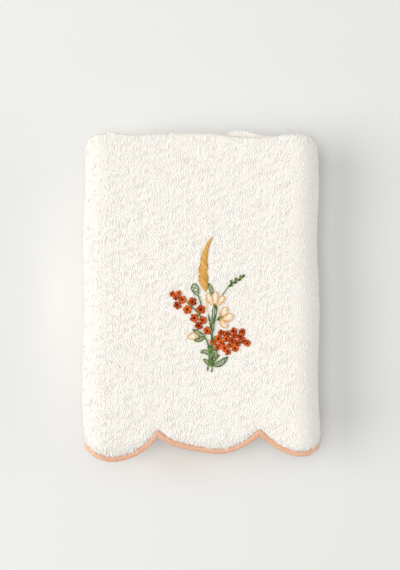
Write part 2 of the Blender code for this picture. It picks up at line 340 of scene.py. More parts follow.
GROOVE_DEPTH, WEAVE_DEPTH = 0.1 * MM, 0.2 * MM
WEAVE_SCALE, WEAVE_GAP = 900, 0.12


def linear(red, green, blue):
    """A colour read as ordinary 0 to 255 values, as the shaders take it."""
    return (*(((value / 255 + 0.055) / 1.055) ** 2.4 for value in (red, green, blue)), 1.0)


def new_material(name, roughness, sheen):
    """A Principled material and its shader."""
    material = bpy.data.materials.new(name)
    material.use_nodes = True
    shader = material.node_tree.nodes["Principled BSDF"]
    shader.inputs["Roughness"].default_value = roughness
    shader.inputs["Sheen Weight"].default_value = sheen
    shader.inputs["Sheen Roughness"].default_value = 0.5
    return material, shader


def add_relief(tree, shader, height, strength, depth):
    """Raises a finish where its height is great."""
    relief = tree.nodes.new("ShaderNodeBump")
    relief.inputs["Strength"].default_value = strength
    relief.inputs["Distance"].default_value = depth
    tree.links.new(height, relief.inputs["Height"])
    tree.links.new(relief.outputs["Normal"], shader.inputs["Normal"])


def thread_material(name, light, dark, roughness, sheen, ply, bump, drift_scale=60.0, shine=0.5):
    """A thread's finish: between two colours by its tone, with the grooves of its plies."""
    material, shader = new_material(name, roughness, sheen)
    shader.inputs["Specular IOR Level"].default_value = shine
    tree = material.node_tree
    tone = tree.nodes.new("ShaderNodeGroup")
    tone.node_tree = cotton_tone
    tone.inputs["Scale"].default_value = drift_scale
    yarn = tree.nodes.new("ShaderNodeGroup")
    yarn.node_tree = plied_yarn
    yarn.inputs["Ply Length"].default_value = ply
    colours = tree.nodes.new("ShaderNodeValToRGB")
    colours.color_ramp.elements[0].color = linear(*dark)
    colours.color_ramp.elements[1].color = linear(*light)
    tree.links.new(tone.outputs["Tone"], colours.inputs["Fac"])
    tree.links.new(colours.outputs["Color"], shader.inputs["Base Color"])
    add_relief(tree, shader, yarn.outputs["Height"], bump, GROOVE_DEPTH)
    return material


# The ground's own finish: a plain weave, off-white, with narrow gaps between its threads.
ground_material, shader = new_material("ivory ground weave", roughness=0.95, sheen=0.3)
tree = ground_material.node_tree
weave_uv = tree.nodes.new("ShaderNodeUVMap")
weave_uv.uv_map = "thread"
weave = tree.nodes.new("ShaderNodeTexBrick")
weave.inputs["Scale"].default_value = WEAVE_SCALE
weave.inputs["Mortar Size"].default_value = WEAVE_GAP
weave.inputs["Color1"].default_value = linear(249, 246, 240)
weave.inputs["Color2"].default_value = linear(246, 242, 235)
weave.inputs["Mortar"].default_value = linear(239, 233, 224)
tree.links.new(weave_uv.outputs["UV"], weave.inputs["Vector"])
tree.links.new(weave.outputs["Color"], shader.inputs["Base Color"])
add_relief(tree, shader, weave.outputs["Fac"], 0.3, WEAVE_DEPTH)

FLAT_STEPS, BEND_STEPS = 24, 36  # across each scallop, on the flat and round the bends
PATH_STEPS = (30, 8, 10, 8, 10, 8, 14)  # along each layer and each turn between them


def ground_grid():
    """The ground's grid: places across, and stations as a stretch of the folded path and a share of it."""
    bends = ((LEFT_BEND - LEFT_BEND_LENGTH, LEFT_BEND_LENGTH), (RIGHT_BEND, RIGHT_BEND_LENGTH))
    across = [-HALF_WIDTH]
    while across[-1] < HALF_WIDTH - 1e-6:
        bending = any(low - 2 * MM < across[-1] < low + length for low, length in bends)
        steps = BEND_STEPS if bending else FLAT_STEPS
        across.append(min(across[-1] + SCALLOP_PITCH / steps, HALF_WIDTH))
    stations = [(number, step / steps) for number, steps in enumerate(PATH_STEPS) for step in range(steps)]
    return np.array(across), [*stations, (len(PATH_STEPS) - 1, 1.0)]


across, stations = ground_grid()
at = marks(across)
reached = [at[number] + share * (at[number + 1] - at[number]) for number, share in stations]
along = np.stack(reached, axis=1)
place = np.repeat(across[:, None], along.shape[1], axis=1)
to_hem = np.minimum(at[7][:, None] - along, HALF_WIDTH - np.abs(place))
half = GROUND / 2 + (HEM_THICKNESS - GROUND) / 2 * (1 - smooth((to_hem - HEM_WIDTH) / HEM_EDGE))
front = np.stack([place, along, half], axis=-1).reshape(-1, 3)
back = np.stack([place, along, -half], axis=-1).reshape(-1, 3)
number = np.arange(along.size).reshape(along.shape)
squares = np.stack([number[:-1, :-1], number[1:, :-1], number[1:, 1:], number[:-1, 1:]], axis=-1)
squares = squares.reshape(-1, 4)
rim = np.concatenate([number[:-1, 0], number[-1, :-1], number[:0:-1, -1], number[0, :0:-1]])
after = np.roll(rim, -1)
walls = np.stack([rim, rim + number.size, after + number.size, after], axis=-1)
ground = add_piece(
    "ground_cloth",
    cloth_points(np.concatenate([front, back])),
    [squares, squares[:, ::-1] + number.size, walls],
    ground_material,
    uv=np.concatenate([front[:, :2], back[:, :2]]),
)
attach(ground, "root")
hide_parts("towel")

# Pile of the face, left half
# Terry loops of soft two-ply cotton, about 4 mm of yarn lying over on the cloth, most of them up and down
# the towel and leaning in slow drifts. They are pressed low where the posy is stitched over them.
JITTER = 0.36


def scatter(low, high, pitch, seed):
    """Places on a jittered grid, every other row shifted by half a step."""
    columns = int((high[0] - low[0]) / pitch[0])
    rows = int((high[1] - low[1]) / pitch[1])
    x, y = np.meshgrid(np.arange(columns), np.arange(rows), indexing="ij")
    chance = np.random.default_rng(seed)
    x = x + 0.5 + 0.5 * (y % 2 - 0.5) + chance.uniform(-JITTER, JITTER, x.shape)
    y = y + 0.5 + chance.uniform(-JITTER, JITTER, y.shape)
    return np.stack([low[0] + x * pitch[0], low[1] + y * pitch[1]], axis=-1).reshape(-1, 2)


def unit(vectors):
    """These vectors, each made one long."""
    return vectors / np.linalg.norm(vectors, axis=-1, keepdims=True)


def tubes(paths, radii, sides, up, closed=False):
    """Yarns along equal paths: their points, faces, and UVs in millimetres along and turns round."""
    if closed:
        tangent = np.roll(paths, -1, axis=1) - np.roll(paths, 1, axis=1)
    else:
        tangent = np.gradient(paths, axis=1)
    tangent = unit(tangent)
    beside = unit(np.cross(tangent, np.broadcast_to(up, paths.shape)))
    above = np.cross(beside, tangent)
    angles = math.tau * (np.arange(sides) + 0.25 * (sides % 2)) / sides
    ring = np.cos(angles)[:, None] * beside[:, :, None] + np.sin(angles)[:, None] * above[:, :, None]
    points = paths[:, :, None] + ring * radii[..., None, None]
    number = np.arange(points.size // 3).reshape(points.shape[:3])
    here, after = (number, np.roll(number, -1, axis=1)) if closed else (number[:, :-1], number[:, 1:])
    faces = np.stack([here, after, np.roll(after, -1, axis=2), np.roll(here, -1, axis=2)], axis=-1)
    run = np.linalg.norm(np.diff(paths, axis=1, prepend=paths[:, :1]), axis=-1).cumsum(axis=1) / MM
    around = np.broadcast_to(np.arange(sides) / sides, number.shape)
    uv = np.stack([np.broadcast_to(run[..., None], number.shape), around], axis=-1)
    return points.reshape(-1, 3), [faces.reshape(-1, 4)], uv.reshape(-1, 2)


WAVES = 7


def drift(x, y, length, seed):
    """A smooth random drift over the cloth, about -1.5 to 1.5, from waves of about this length each way."""
    chance = np.random.default_rng(seed)
    total = np.zeros_like(x)
    for _ in range(WAVES):
        angle, phase = chance.uniform(0, math.tau, 2)
        wave = length * chance.uniform(0.7, 1.4)
        total += np.sin(math.tau * (x * math.cos(angle) + y * math.sin(angle)) / wave + phase)
    return total / math.sqrt(WAVES / 2)


LEAN_AT_LEFT, LEAN_GAINED = -0.08, 0.46  # in radians, from the face's left to its right
LEAN_START, LEAN_SPAN = 60 * MM, 130 * MM
LEAN_DRIFTS = ((0.26, 24 * MM, 3), (0.34, 8 * MM, 4))  # amount, length and seed of each drift
SWELL_DRIFTS = ((0.19, 5.5 * MM, 5), (0.10, 13 * MM, 6))  # the same, with amounts in mm of height


def with_drifts(value, x, y, drifts):
    """A value with these random drifts over the cloth added to it."""
    return sum((amount * drift(x, y, length, seed) for amount, length, seed in drifts), value)


def lean(x, y):
    """How far the pile leans from straight up the towel, in radians: more to the right, and in patches."""
    steady = LEAN_AT_LEFT + LEAN_GAINED * smooth((x + LEAN_START) / LEAN_SPAN)
    return with_drifts(steady, x, y, LEAN_DRIFTS)


YARN_SIDES = 3
LOOP_STEPS = 3
LOOP_FOOT = 0.5 * MM
LOOP_FULLNESS = 0.55
LEAN_SPREAD = 0.30
CURL, DOUBLE_CURL = 0.34 * MM, 0.16 * MM  # how far loops bow to one side, and wave to both
SWELL_SPREAD = (-0.22, 0.04)
TONE, TONE_SPREAD = 0.55, 0.16


def terry_loops(places, seed, radius, length, top, clumps=1.0):
    """Loops lying on a flat cloth at these places, as yarns with a tone for each point."""
    chance = np.random.default_rng(seed)
    count = len(places)
    x, y = places[:, 0], places[:, 1]
    turn = lean(x, y) + chance.normal(0, LEAN_SPREAD, count)
    long = chance.uniform(*length, count)
    share = np.linspace(0, 1, LOOP_STEPS + 1)[None]
    forward = (share - 0.5) * long[:, None]
    curl = chance.normal(0, CURL, (count, 1)) * np.sin(math.pi * share)
    curl = curl + chance.normal(0, DOUBLE_CURL, (count, 1)) * np.sin(math.tau * share)
    swell = with_drifts(0, x, y, SWELL_DRIFTS) + chance.uniform(*SWELL_SPREAD, count)
    height = (pile_top(places, top) - radius + clumps * swell * MM)[:, None]
    depth = LOOP_FOOT + (height - LOOP_FOOT) * np.sin(math.pi * share) ** LOOP_FULLNESS
    x = x[:, None] + forward * np.sin(turn)[:, None] + curl * np.cos(turn)[:, None]
    y = y[:, None] + forward * np.cos(turn)[:, None] - curl * np.sin(turn)[:, None]
    thick = radius * chance.uniform(0.85, 1.1, (count, 1)) * (0.75 + 0.25 * np.sin(math.pi * share))
    points, faces, uv = tubes(np.stack([x, y, depth], axis=-1), thick, YARN_SIDES, (0, 0, 1))
    tone = np.clip(chance.normal(TONE, TONE_SPREAD, count), 0, 1)
    return points, faces, uv, np.repeat(tone, (LOOP_STEPS + 1) * YARN_SIDES)


def on_front(points):
    """Carries points from the open front panel, as (across, y, depth), to the folded towel."""
    along = points[:, 1] - cloth_end(points[:, 0])
    return cloth_points(np.stack([points[:, 0], along, points[:, 2]], axis=-1))


PRESSED_TOP = 1.15 * MM
PRESSED_INNER, PRESSED_FADE = 0.8, 0.4  # as shares of a body's size
POSY_BODIES = (  # middle and half sizes on the face, in mm: the places where stitching covers the pile
    (3.0, 22.0, 3.4, 17.5),
    (9.5, -2.5, 6.0, 4.4),
    (17.0, -15.5, 4.6, 6.2),
    (-9.0, -9.0, 12.0, 8.0),
    (20.0, -31.5, 13.5, 10.5),
    (-6.5, -28.5, 4.6, 4.6),
    (7.0, -44.0, 7.0, 7.0),
)


def pile_top(places, free):
    """How high the loops reach here: pressed low where the posy is stitched over them."""
    x, y = places[:, 0] + MIDDLE_SHIFT, places[:, 1]
    top = np.full(len(places), free)
    for middle_x, middle_y, half_x, half_y in POSY_BODIES:
        away = np.hypot((x - middle_x * MM) / (half_x * MM), (y - middle_y * MM) / (half_y * MM))
        rise = smooth((away - PRESSED_INNER) / PRESSED_FADE)
        top = np.minimum(top, PRESSED_TOP + (free - PRESSED_TOP) * rise)
    return top


FRONT_LOW, FRONT_HIGH = -125 * MM, 120 * MM
EDGE_MARGIN, FOLD_MARGIN = 0.2 * MM, 3.2 * MM


def front_places(low, high, pitch, seed):
    """Places for loops on the front panel, clear of its scalloped end and its first fold."""
    places = scatter((low, FRONT_LOW), (high, FRONT_HIGH), pitch, seed)
    start = cloth_end(places[:, 0]) + EDGE_MARGIN
    end = fold_lines(places[:, 0])[1] - FOLD_MARGIN
    return places[(places[:, 1] > start) & (places[:, 1] < end)]


PILE_TOP = 1.70 * MM
LOOP_RADIUS = 0.43 * MM
LOOP_LENGTH = (1.8 * MM, 3.4 * MM)
FACE_PITCH = (1.28 * MM, 1.52 * MM)
FACE_SPLIT = -7 * MM
pile_material = thread_material(
    "ivory terry pile", light=(253, 251, 248), dark=(245, 241, 234),
    roughness=0.95, sheen=0.3, ply=1.5, bump=0.35, drift_scale=45.0,
)


def pile_piece(name, loops):
    """One piece of terry loops on the front of the cloth."""
    points, faces, uv, tone = loops
    return add_piece(name, on_front(points), faces, pile_material, uv, tone)


places = front_places(LEFT_BEND, FACE_SPLIT, FACE_PITCH, seed=11)
loops = terry_loops(places, 12, LOOP_RADIUS, LOOP_LENGTH, PILE_TOP)
pile_face_left = pile_piece("pile_face_left", loops)
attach(pile_face_left, "root")

# Pile of the face, right half
# The same woven loops, from the middle of the face to where the right side starts to turn down. The fold
# presses them flatter towards that side.
RIGHT_TOP = 1.38 * MM
PRESSING_BEFORE, PRESSING_SPAN = 4 * MM, 10 * MM
CLUMPS_PRESSED = 0.6


def right_loops(places, seed):
    """Loops pressed by the right fold: not at all on the face, and fully once round the bend."""
    flat = smooth((places[:, 0] - RIGHT_BEND + PRESSING_BEFORE) / PRESSING_SPAN)
    top = PILE_TOP + (RIGHT_TOP - PILE_TOP) * flat
    return terry_loops(places, seed, LOOP_RADIUS, LOOP_LENGTH, top, clumps=1 - CLUMPS_PRESSED * flat)


places = front_places(FACE_SPLIT, RIGHT_BEND, FACE_PITCH, seed=21)
pile_face_right = pile_piece("pile_face_right", right_loops(places, 22))
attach(pile_face_right, "root")

# Pile of the left side
# The same loops round the left bend, and on the strip of the left third beneath it, a little flatter than
# on the face.
SIDE_TOP, SIDE_CLUMPS = 1.62 * MM, 0.8
SIDE_PITCH = (1.38 * MM, 1.58 * MM)
LEFT_STRIP = 12 * MM
places = front_places(LEFT_BEND - LEFT_BEND_LENGTH - LEFT_STRIP, LEFT_BEND, SIDE_PITCH, seed=31)
loops = terry_loops(places, 32, LOOP_RADIUS, LOOP_LENGTH, SIDE_TOP, SIDE_CLUMPS)
pile_left_side = pile_piece("pile_left_side", loops)
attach(pile_left_side, "root")

# Pile of the right side
# The same loops round the taller right bend, from the face down to the floor, pressed flat by the fold.
RIGHT_PITCH = (1.5 * MM, 1.7 * MM)
places = front_places(RIGHT_BEND, RIGHT_BEND + RIGHT_BEND_LENGTH, RIGHT_PITCH, seed=41)
pile_right_side = pile_piece("pile_right_side", right_loops(places, 42))
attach(pile_right_side, "root")

# Pile of the underside
# The loops of the right third, which the towel rests on. They are made sparser, of longer and thicker yarn,
# and pressed a little flatter.
UNDERSIDE_TOP = 1.58 * MM
UNDERSIDE_RADIUS = 0.56 * MM
UNDERSIDE_LENGTH = (3.2 * MM, 4.8 * MM)
UNDERSIDE_PITCH = (2.15 * MM, 2.3 * MM)
HEM_START = HALF_WIDTH - HEM_WIDTH
places = front_places(RIGHT_BEND + RIGHT_BEND_LENGTH, HEM_START - MM, UNDERSIDE_PITCH, seed=51)
loops = terry_loops(places, 52, UNDERSIDE_RADIUS, UNDERSIDE_LENGTH, UNDERSIDE_TOP)
pile_underside = pile_piece("pile_underside", loops)
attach(pile_underside, "root")

# Pile of the folds' ends
# The loops round the turns of the cloth: the front's loops at the two folds of the upper end, and those of
# the back at the fold of the lower end, where the back of the cloth is outside.
HIDDEN_RADIUS = 0.5 * MM
HIDDEN_TOP = 1.55 * MM
END_PITCH = (2.0 * MM, 1.75 * MM)
END_LENGTH = (2.6 * MM, 3.8 * MM)
BEFORE_TURN, AFTER_TURN = 4.6 * MM, 3 * MM
end_parts = []
for mark, side, seed in ((1, 1, 61), (3, -1, 63), (5, 1, 65)):
    places = scatter((-HEM_START, -BEFORE_TURN), (HEM_START, TURN_LENGTH + AFTER_TURN), END_PITCH, seed)
    points, faces, uv, tone = terry_loops(places, seed + 1, HIDDEN_RADIUS, END_LENGTH, HIDDEN_TOP)
    along = marks(points[:, 0])[mark] + points[:, 1]
    points = cloth_points(np.stack([points[:, 0], along, side * points[:, 2]], axis=-1))
    end_parts.append((points, [group[:, ::side] for group in faces], uv, tone))
points, faces, uv, tone = zip(*end_parts)
starts = np.cumsum([0, *map(len, points)])
faces = [group + start for (group,), start in zip(faces, starts)]
points, uv, tone = map(np.concatenate, (points, uv, tone))
pile_fold_ends = add_piece("pile_fold_ends", points, faces, pile_material, uv, tone)
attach(pile_fold_ends, "root")

# Pile under the flap
# The back's loops on the loose scalloped end, which hangs past the layers beneath it.
FLAP_PITCH = (2.1 * MM, 2.2 * MM)
FLAP_SIDE, FLAP_TOP = 96 * MM, -86 * MM
FLAP_MARGIN = 1.9 * MM
places = scatter((-FLAP_SIDE, FRONT_LOW), (FLAP_SIDE, FLAP_TOP), FLAP_PITCH, seed=71)
places = places[places[:, 1] > cloth_end(places[:, 0]) + FLAP_MARGIN]
points, faces, uv, tone = terry_loops(places, 72, HIDDEN_RADIUS, LOOP_LENGTH, HIDDEN_TOP)
points[:, 2] *= -1
pile_under_flap = pile_piece("pile_under_flap", (points, [faces[0][:, ::-1]], uv, tone))
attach(pile_under_flap, "root")

# Scalloped edging
# A thick satin border over the cut edge of the scalloped end: close peach stitches laid side by side
# straight across a padded core, all the way across the towel.
STITCH_PITCH = 0.47 * MM
STITCH_RADIUS = 0.36 * MM
STITCH_STEPS = 10
EDGING_SPREAD = 0.3 * MM
EDGING_END, EDGING_SAMPLES = 0.4 * MM, 4001
SLOPE_STEP = 0.2 * MM
CUSP_SHARE = 0.22  # how near a cusp the stitches turn to lie straight down the towel
TILT_SPREAD, END_RAGGED, PADDING_SPREAD = 0.035, 0.12 * MM, 0.04 * MM
RING_FULLNESS = 0.6


def edging_sides(across):
    """The Y of the outer and the inner side of the edging."""
    drop, band = scallop(across)
    outer = fold_lines(across)[0] - drop
    return outer, outer + band


def edging_rings(across, seed):
    """Closed oval paths straight across the edging at these places, and the edge's direction at each."""
    chance = np.random.default_rng(seed)
    outer, inner = edging_sides(across)
    ahead, behind = edging_sides(across + SLOPE_STEP), edging_sides(across - SLOPE_STEP)
    slope = (ahead[0] + ahead[1] - behind[0] - behind[1]) / (4 * SLOPE_STEP)
    place = (across + HALF_WIDTH) / SCALLOP_PITCH
    from_cusp = 1 - np.abs(2 * (place - np.floor(place)) - 1)
    tilt = np.arctan(slope) * smooth(from_cusp / CUSP_SHARE) + chance.normal(0, TILT_SPREAD, len(across))
    reach = (EDGING_WIDTH / 2 - STITCH_RADIUS) * np.sin(tilt)
    outer_y, inner_y = edging_sides(across + reach)[0], edging_sides(across - reach)[1]
    ragged = chance.normal(0, END_RAGGED, len(across))
    middle = np.stack([across, (outer_y + inner_y) / 2 + ragged / 2], axis=-1)
    half_length = (inner_y - outer_y) / 2 - STITCH_RADIUS + EDGING_SPREAD + ragged / 2
    axis = np.stack([-reach, half_length], axis=-1)
    angle = math.tau * np.arange(STITCH_STEPS) / STITCH_STEPS
    flat = middle[:, None] + np.cos(angle)[None, :, None] * axis[:, None]
    rise = np.sign(np.sin(angle)) * np.abs(np.sin(angle)) ** RING_FULLNESS
    half_depth = (EDGING_THICKNESS - 2 * STITCH_RADIUS) / 2
    depth = (half_depth + chance.normal(0, PADDING_SPREAD, (len(across), 1))) * rise[None]
    paths = np.concatenate([flat, depth[..., None]], axis=-1)
    edge = np.stack([axis[:, 1], -axis[:, 0], 0 * reach], axis=-1)
    return paths, edge[:, None]


across = np.linspace(-HALF_WIDTH + EDGING_END, HALF_WIDTH - EDGING_END, EDGING_SAMPLES)
middle_line = sum(edging_sides(across)) / 2
travelled = np.concatenate([[0], np.cumsum(np.hypot(np.diff(across), np.diff(middle_line)))])
stitch_across = np.interp(np.arange(0, travelled[-1], STITCH_PITCH), travelled, across)
paths, edge = edging_rings(stitch_across, seed=81)
radii = np.full(paths.shape[:2], STITCH_RADIUS)
points, faces, uv = tubes(paths, radii, YARN_SIDES, edge, closed=True)
tone = np.clip(np.random.default_rng(82).normal(0.5, TONE_SPREAD, len(paths)), 0, 1)
tone = np.repeat(tone, STITCH_STEPS * YARN_SIDES)
edging_material = thread_material(
    "peach satin thread", light=(252, 216, 186), dark=(246, 180, 142),
    roughness=0.45, sheen=0.5, ply=1.2, bump=0.25, drift_scale=30.0,
)
edging = add_piece("edging_stitches", on_front(points), faces, edging_material, uv, tone)
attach(edging, "root")
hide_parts("scallop_edging")

# Core of the edging
# The padding thread under the border's stitches, a flat oval cord that follows the scallops.
CORE_END, CORE_SIDES, CORE_STEPS = 0.6 * MM, 8, 14
CORE_INSET, CORE_SUNK = 0.45 * MM, 0.42 * MM
core_half = HALF_WIDTH - CORE_END
core_across = np.linspace(-core_half, core_half, len(SCALLOPS) * CORE_STEPS + 1)
outer, inner = edging_sides(core_across)
angle = math.tau * np.arange(CORE_SIDES) / CORE_SIDES
half_width = (inner - outer) / 2 - CORE_INSET
y = ((inner + outer) / 2)[:, None] + half_width[:, None] * np.cos(angle)
depth = (EDGING_THICKNESS / 2 - CORE_SUNK) * np.sin(angle)[None] + 0 * y
points = np.stack([core_across[:, None] + 0 * y, y, depth], axis=-1)
number = np.arange(points.size // 3).reshape(y.shape)
here, after = number[:-1], number[1:]
faces = np.stack([here, np.roll(here, -1, axis=1), np.roll(after, -1, axis=1), after], axis=-1)
faces = [faces.reshape(-1, 4), np.stack([number[0, ::-1], number[-1]])]
around = np.broadcast_to(angle / math.tau, y.shape)
uv = np.stack([core_across[:, None] / MM + 0 * y, around], axis=-1)
core_material = thread_material(
    "peach padding thread", light=(246, 200, 162), dark=(236, 176, 138),
    roughness=0.7, sheen=0.2, ply=1.2, bump=0.2,
)
core = add_piece("edging_core", on_front(points.reshape(-1, 3)), faces, core_material, uv.reshape(-1, 2))
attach(core, "root")
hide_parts("scallop_edging")

# Ear of seed
# The tall ear at the back of the posy: close slanting stitches of mustard silk over the pressed pile. The
# posy's places and sizes are in millimetres, with the middle of the folded towel as 0, 0.
STITCH_LOW, STITCH_HIGH = 1.25 * MM, 2.0 * MM
RUN_LOW = STITCH_LOW + 0.35 * MM
RUN_ASIDE, RUN_SPREAD = 0.14 * MM, 0.05 * MM
ARCH_STEPS, ARCH_FULLNESS = 4, 0.6
THREAD_SIDES = 4


def flowing(rows, spacing):
    """A smooth line past a few rows in millimetres, x and y first, cut into equal steps, in metres."""
    line = np.array(rows, float) * MM
    for _ in range(3):
        cut = np.stack([0.75 * line[:-1] + 0.25 * line[1:], 0.25 * line[:-1] + 0.75 * line[1:]], axis=1)
        line = np.concatenate([line[:1], cut.reshape(-1, line.shape[1]), line[-1:]])
    run = np.concatenate([[0], np.hypot(*np.diff(line[:, :2], axis=0).T).cumsum()])
    steps = np.linspace(0, run[-1], max(int(run[-1] / spacing), 3))
    return np.stack([np.interp(steps, run, column) for column in line.T], axis=-1)


def headings(line):
    """The direction of a line at each of its points, and the direction to its left."""
    ahead = unit(np.gradient(line[:, :2], axis=0))
    return ahead, np.stack([-ahead[:, 1], ahead[:, 0]], axis=-1)


def arched(starts, ends, low, high):
    """Stitches from start to end, rising over what they cover."""
    share = np.linspace(0, 1, ARCH_STEPS + 1)[None, :, None]
    flat = starts[:, None] + (ends - starts)[:, None] * share
    depth = low + (high - low) * np.sin(math.pi * share) ** ARCH_FULLNESS + 0 * flat[..., :1]
    return np.concatenate([flat, depth], axis=-1)


def fill_stitches(rows, pitch, slant, seed, low=STITCH_LOW, high=STITCH_HIGH):
    """Satin stitches side by side along a shape: rows of x, y and half width."""
    chance = np.random.default_rng(seed)
    line = flowing(rows, pitch)
    ahead, left = headings(line)
    half = line[:, 2:] * chance.uniform(0.9, 1.06, (len(line), 1))
    reach = (left + slant * ahead) * half
    return arched(line[:, :2] + reach, line[:, :2] - reach, low, high)


def run_stitches(rows, seed, length=2.2 * MM):
    """Overlapping stitches one behind another along a line, each a little aslant."""
    chance = np.random.default_rng(seed)
    line = flowing(rows, length / 2)[:, :2]
    left = headings(line)[1] * chance.normal(RUN_ASIDE, RUN_SPREAD, (len(line), 1))
    return arched((line + left)[:-2], (line - left)[2:], RUN_LOW, STITCH_HIGH)


def sew(name, stitches, radius, material, seed, spread=0.22):
    """One piece of all these stitches, given as pairs of paths and the middle tone of their thread."""
    chance = np.random.default_rng(seed)
    paths = np.concatenate([group for group, _ in stitches])
    middle = np.concatenate([np.full(len(group), tone) for group, tone in stitches])
    paths[..., 0] -= MIDDLE_SHIFT
    share = np.linspace(0, 1, paths.shape[1])
    radii = radius * (0.7 + 0.3 * np.sin(math.pi * share)) * chance.uniform(0.9, 1.1, (len(paths), 1))
    points, faces, uv = tubes(paths, radii, THREAD_SIDES, (0, 0, 1))
    tone = np.clip(middle + chance.normal(0, spread, len(paths)), 0, 1)
    tone = np.repeat(tone, paths.shape[1] * THREAD_SIDES)
    piece = add_piece(name, on_front(points), faces, material, uv, tone)
    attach(piece, "root")


def silk(name, light, dark, drift_scale=120.0, roughness=0.55):
    """The finish of a fine plied silk, between a light and a dark colour."""
    return thread_material(
        name, light, dark, roughness, sheen=0.0, ply=0.9, bump=0.25, drift_scale=drift_scale, shine=0.15
    )


EAR = (  # x, y, half width
    (2.5, 3.0, 0.4),
    (2.0, 5.0, 1.8),
    (1.5, 7.5, 2.9),
    (1.0, 10.0, 3.5),
    (1.5, 13.5, 3.7),
    (1.0, 18.0, 2.9),
    (2.0, 22.0, 3.2),
    (2.0, 26.5, 2.3),
    (3.0, 31.0, 1.9),
    (4.5, 36.0, 1.2),
    (7.5, 41.0, 0.3),
)
mustard = silk("mustard silk", (236, 194, 116), (196, 140, 62))
sew("ear_of_seed", [(fill_stitches(EAR, 0.50 * MM, 0.85, seed=101), 0.55)], 0.32 * MM, mustard, seed=102)

# Rust blossoms
# Small five-petalled blossoms of rust silk, a loose spray at the left and a thick head at the lower right.
# Their petals are short stitches from the middle outwards.
SPRAY = (  # x, y and radius of each blossom
    (-20.5, 1.0, 2.2),
    (-16.0, 1.5, 2.1),
    (-18.0, -1.5, 2.0),
    (-13.5, -3.0, 3.0),
    (-17.0, -7.0, 2.9),
    (-6.5, -4.5, 3.2),
    (-10.0, -10.0, 3.3),
    (-0.5, -10.0, 3.4),
    (-5.0, -16.0, 3.3),
    (1.0, -17.5, 2.9),
    (-2.0, -21.5, 3.0),
    (4.0, -25.0, 3.0),
)
HEAD_MIDDLE, HEAD_SIZE, HEAD_BLOSSOMS = (20.0, -32.0), (12.0, 8.5), 18
HEAD_SLANT, HEAD_RADIUS, STRAY_BLOSSOM = 0.12, 2.55, (32.5, -34.0, 2.4)
SPIRAL_TURN = 2.4  # in radians
BLOSSOM_STITCHES, PETAL_COUNT = 35, 5
BLOSSOM_HIGH = 2.2 * MM


def head_places():
    """Blossoms set in a growing spiral over the head's oval, with one stray at its right."""
    turns = np.arange(HEAD_BLOSSOMS) * SPIRAL_TURN
    far = np.sqrt((np.arange(HEAD_BLOSSOMS) + 0.4) / HEAD_BLOSSOMS)
    x = HEAD_MIDDLE[0] + HEAD_SIZE[0] * far * np.cos(turns)
    y = HEAD_MIDDLE[1] + HEAD_SIZE[1] * far * np.sin(turns) + HEAD_SLANT * (x - HEAD_MIDDLE[0])
    return [*zip(x, y, HEAD_RADIUS + 0.25 * np.sin(5 * turns)), STRAY_BLOSSOM]


def blossom(x, y, radius, seed):
    """The petals of one blossom, as stitches from its middle outwards."""
    chance = np.random.default_rng(seed)
    angle = math.tau * np.arange(BLOSSOM_STITCHES) / BLOSSOM_STITCHES + chance.uniform(0, math.tau)
    petal = np.abs(np.cos(PETAL_COUNT / 2 * (angle - angle[0])))
    far = radius * (0.55 + 0.48 * petal**0.4) * chance.uniform(0.94, 1.06, BLOSSOM_STITCHES)
    ray = np.stack([np.cos(angle), np.sin(angle)], axis=-1)
    middle = np.array([x, y]) * MM
    starts, ends = middle + 0.22 * radius * MM * ray, middle + far[:, None] * MM * ray
    return arched(starts, ends, STITCH_LOW + 0.3 * MM, BLOSSOM_HIGH)


blossoms = [*SPRAY, *head_places()]
rust = silk("rust silk", (255, 122, 40), (112, 20, 4), drift_scale=260.0)
petals = [
    (blossom(*place, seed=200 + number), 0.48 + 0.14 * math.sin(2.4 * number))
    for number, place in enumerate(blossoms)
]
sew("rust_blossoms", petals, 0.26 * MM, rust, seed=103, spread=0.34)

# Hearts of the blossoms
# A dark red knot in the middle of each blossom: a few short stitches crossing.
HEART_LOW, HEART_HIGH = 1.85 * MM, 2.35 * MM
hearts = []
for x, y, radius in blossoms:
    angle = math.pi * np.arange(5) / 5 + x
    ray = np.stack([np.cos(angle), np.sin(angle)], axis=-1) * 0.27 * radius * MM
    middle = np.array([x, y]) * MM
    hearts.append((arched(middle - ray, middle + ray, HEART_LOW, HEART_HIGH), 0.4))
dark_red = silk("dark red silk", (124, 28, 8), (62, 7, 2), drift_scale=60.0, roughness=0.6)
sew("blossom_hearts", hearts, 0.27 * MM, dark_red, seed=104)

# Cream flowers
# Open flowers and a bud in pale thread: each petal a stitched outline with light, spaced stitches inside.
PETALS = (  # x, y and half width down the middle of each petal, base first
    ((8.0, -6.5, 0.8), (5.5, -3.0, 2.4), (5.0, 0.5, 2.0), (5.5, 2.0, 0.5)),
    ((9.5, -6.5, 0.8), (9.5, -2.5, 2.8), (10.0, 1.0, 2.5), (10.0, 2.5, 0.6)),
    ((11.0, -7.0, 0.6), (13.0, -4.5, 2.0), (14.5, -2.0, 2.2), (16.0, -0.5, 0.5)),
    ((13.5, -16.5, 0.7), (15.5, -13.0, 2.7), (17.0, -10.0, 2.6), (17.0, -8.0, 0.6)),
    ((14.5, -16.5, 0.9), (18.0, -16.0, 3.1), (20.5, -15.0, 2.9), (22.5, -14.0, 0.7)),
    ((13.5, -17.5, 0.7), (15.0, -19.0, 2.6), (17.0, -21.5, 2.4), (17.5, -23.0, 0.6)),
    ((-2.5, -28.5, 1.2), (-5.0, -28.5, 2.9), (-8.0, -29.0, 2.2), (-10.0, -30.0, 0.4)),
)


def outline(rows):
    """The line round a petal or leaf, from the rows down its middle."""
    line = flowing(rows, 0.8 * MM) / MM
    left = headings(line)[1] * line[:, 2:]
    sides = [line[:, :2] + left, (line[:, :2] - left)[::-1]]
    return np.concatenate([*sides, sides[0][:1]])


